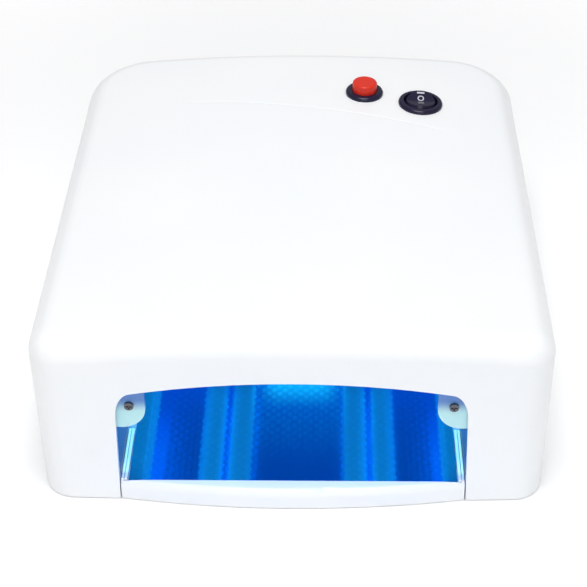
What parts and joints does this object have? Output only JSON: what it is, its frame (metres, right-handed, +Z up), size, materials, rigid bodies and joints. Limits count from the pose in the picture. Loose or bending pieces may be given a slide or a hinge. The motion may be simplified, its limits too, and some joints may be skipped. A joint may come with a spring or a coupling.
{
  "type": "uv nail lamp",
  "caption": "Nail curing lamp: crowned white housing with a wide front opening, glowing tubes in a foil-lined chamber, slide-out mirror tray, red timer button and round rocker switch.",
  "frame": {"origin": "on the support plane under the middle of the bounding box", "axes": "+Z up, -Y out of the hand opening, +X to the right of a person facing the opening; the body is longest front to back"},
  "size_m": [0.23, 0.268, 0.1016],
  "materials": {
    "shell_white": "softly glossy moulded shell",
    "frame_white": "satin moulding",
    "zinc_steel": "zinc plated",
    "foot_rubber": "matt",
    "embossed_foil": "pebble-embossed bright foil",
    "hanger_plastic": "clear-white moulding",
    "guard_white": "satin moulding",
    "dark_screw": "blackened",
    "pin_brass": "bright",
    "tray_white": "softly glossy moulding",
    "tray_foil": "bright lightly pebbled foil",
    "control_black": "glossy",
    "rocker_black": "satin with white marks",
    "cap_red": "glossy",
    "spring_steel": "bright drawn wire",
    "terminal_brass": "tinned",
    "board_green": "solder mask",
    "board_amber": "bare phenolic board",
    "relay_blue": "moulded case",
    "chip_black": "moulded case",
    "can_aluminium": "sleeved can",
    "can_black": "sleeved can",
    "coil_amber": "taped winding",
    "ferrite_grey": "ferrite core",
    "header_cream": "moulded header",
    "gland_black": "satin",
    "tube_glow": "phosphor-coated tube, lit",
    "lamp_base_white": "satin moulding",
    "socket_white": "satin moulding"
  },
  "bodies": {
    "housing": {"ballast_board_left": "board_amber", "ballast_board_right": "board_amber", "ballast_capacitors_left": "can_black", "ballast_capacitors_right": "can_black", "ballast_chokes_left": "ferrite_grey", "ballast_chokes_right": "ferrite_grey", "base_frame": "frame_white", "base_screws": "zinc_steel", "board_screws": "zinc_steel", "button_bezel": "control_black", "button_nut": "control_black", "button_spring": "spring_steel", "button_terminals": "terminal_brass", "cord_gland": "gland_black", "end_guard_left": "guard_white", "end_guard_right": "guard_white", "guard_screws": "dark_screw", "lamp_base_left_side": "lamp_base_white", "lamp_base_left_top": "lamp_base_white", "lamp_base_right_side": "lamp_base_white", "lamp_base_right_top": "lamp_base_white", "lamp_pins": "pin_brass", "lamp_socket_left_side": "socket_white", "lamp_socket_left_top": "socket_white", "lamp_socket_right_side": "socket_white", "lamp_socket_right_top": "socket_white", "reflector_back_wall": "embossed_foil", "reflector_liner": "embossed_foil", "rocker_bezel": "control_black", "rocker_terminals": "terminal_brass", "rubber_feet": "foot_rubber", "socket_screws": "zinc_steel", "timer_board": "board_green", "timer_capacitors": "can_aluminium", "timer_chips": "chip_black", "timer_relays": "relay_blue", "timer_transformer": "coil_amber", "top_shell": "shell_white", "tube_hangers": "hanger_plastic", "uv_tube_left_side": "tube_glow", "uv_tube_left_top": "tube_glow", "uv_tube_right_side": "tube_glow", "uv_tube_right_top": "tube_glow", "wire_headers": "header_cream"},
    "tray": {"tray": "tray_white", "tray_mirror": "tray_foil"},
    "timer_button": {"button_cap": "cap_red"},
    "rocker": {"power_rocker": "rocker_black", "rocker_pin": "spring_steel"}
  },
  "joints": [
    {"name": "tray_slide", "type": "slide", "parent": "housing", "child": "tray", "axis": [0, -1, 0], "range_m": [0, 0.26]},
    {"name": "button_press", "type": "slide", "parent": "housing", "child": "timer_button", "axis": [-0.0347, 0, -0.9994], "range_m": [0, 0.0025], "stiffness_N_per_m": 800, "springref_m": -0.0012, "deforming": ["button_spring"]},
    {"name": "rocker_tilt", "type": "hinge", "parent": "housing", "child": "rocker", "pos_m": [0.06387, 0.0715, 0.09095], "axis": [0.9979, 0, -0.064], "range_deg": [-18, 0]}
  ]
}
